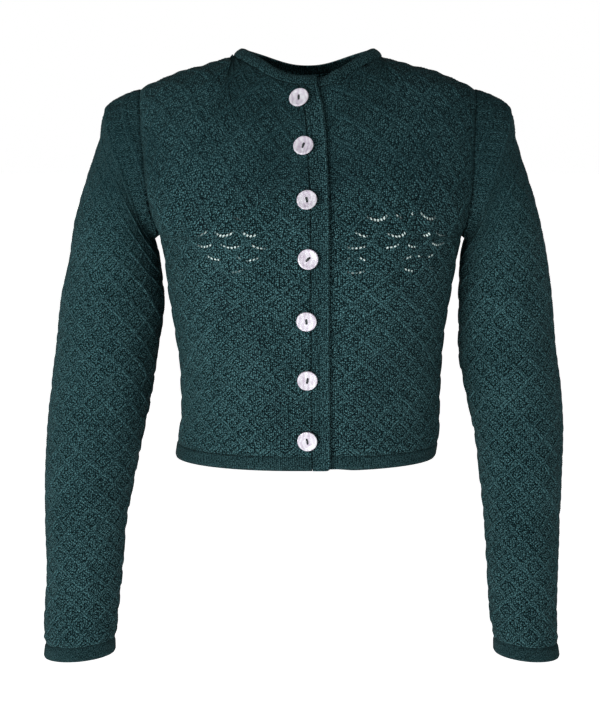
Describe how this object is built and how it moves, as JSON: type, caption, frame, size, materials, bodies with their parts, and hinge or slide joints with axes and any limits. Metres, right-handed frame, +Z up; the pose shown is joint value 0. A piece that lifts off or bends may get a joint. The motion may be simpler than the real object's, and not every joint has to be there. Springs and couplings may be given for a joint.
{
  "type": "knitted cardigan",
  "caption": "Cropped, fitted wool cardigan with long set-in sleeves, round neckband, front bands and shell buttons, in its worn hollow form.",
  "frame": {"origin": "middle of the neck opening at the height where the shoulders meet the neck, where the wearer's neck and shoulders carry it", "axes": "+Z up along the wearer's body, -Y towards the front, +X towards the wearer's left"},
  "size_m": [0.5232, 0.228, 0.6029],
  "materials": {
    "wool": "matte",
    "shell": "gloss"
  },
  "bodies": {
    "root": {"front_right": "wool", "front_left": "wool", "back": "wool", "band_right": "wool", "band_left": "wool", "hem_right": "wool", "hem_left": "wool", "hem_back": "wool", "neckband": "wool", "sleeve_right": "wool", "cuff_right": "wool", "sleeve_left": "wool", "cuff_left": "wool", "button_1": "shell", "button_2": "shell", "button_3": "shell", "button_4": "shell", "button_5": "shell", "button_6": "shell", "button_7": "shell"}
  },
  "joints": []
}
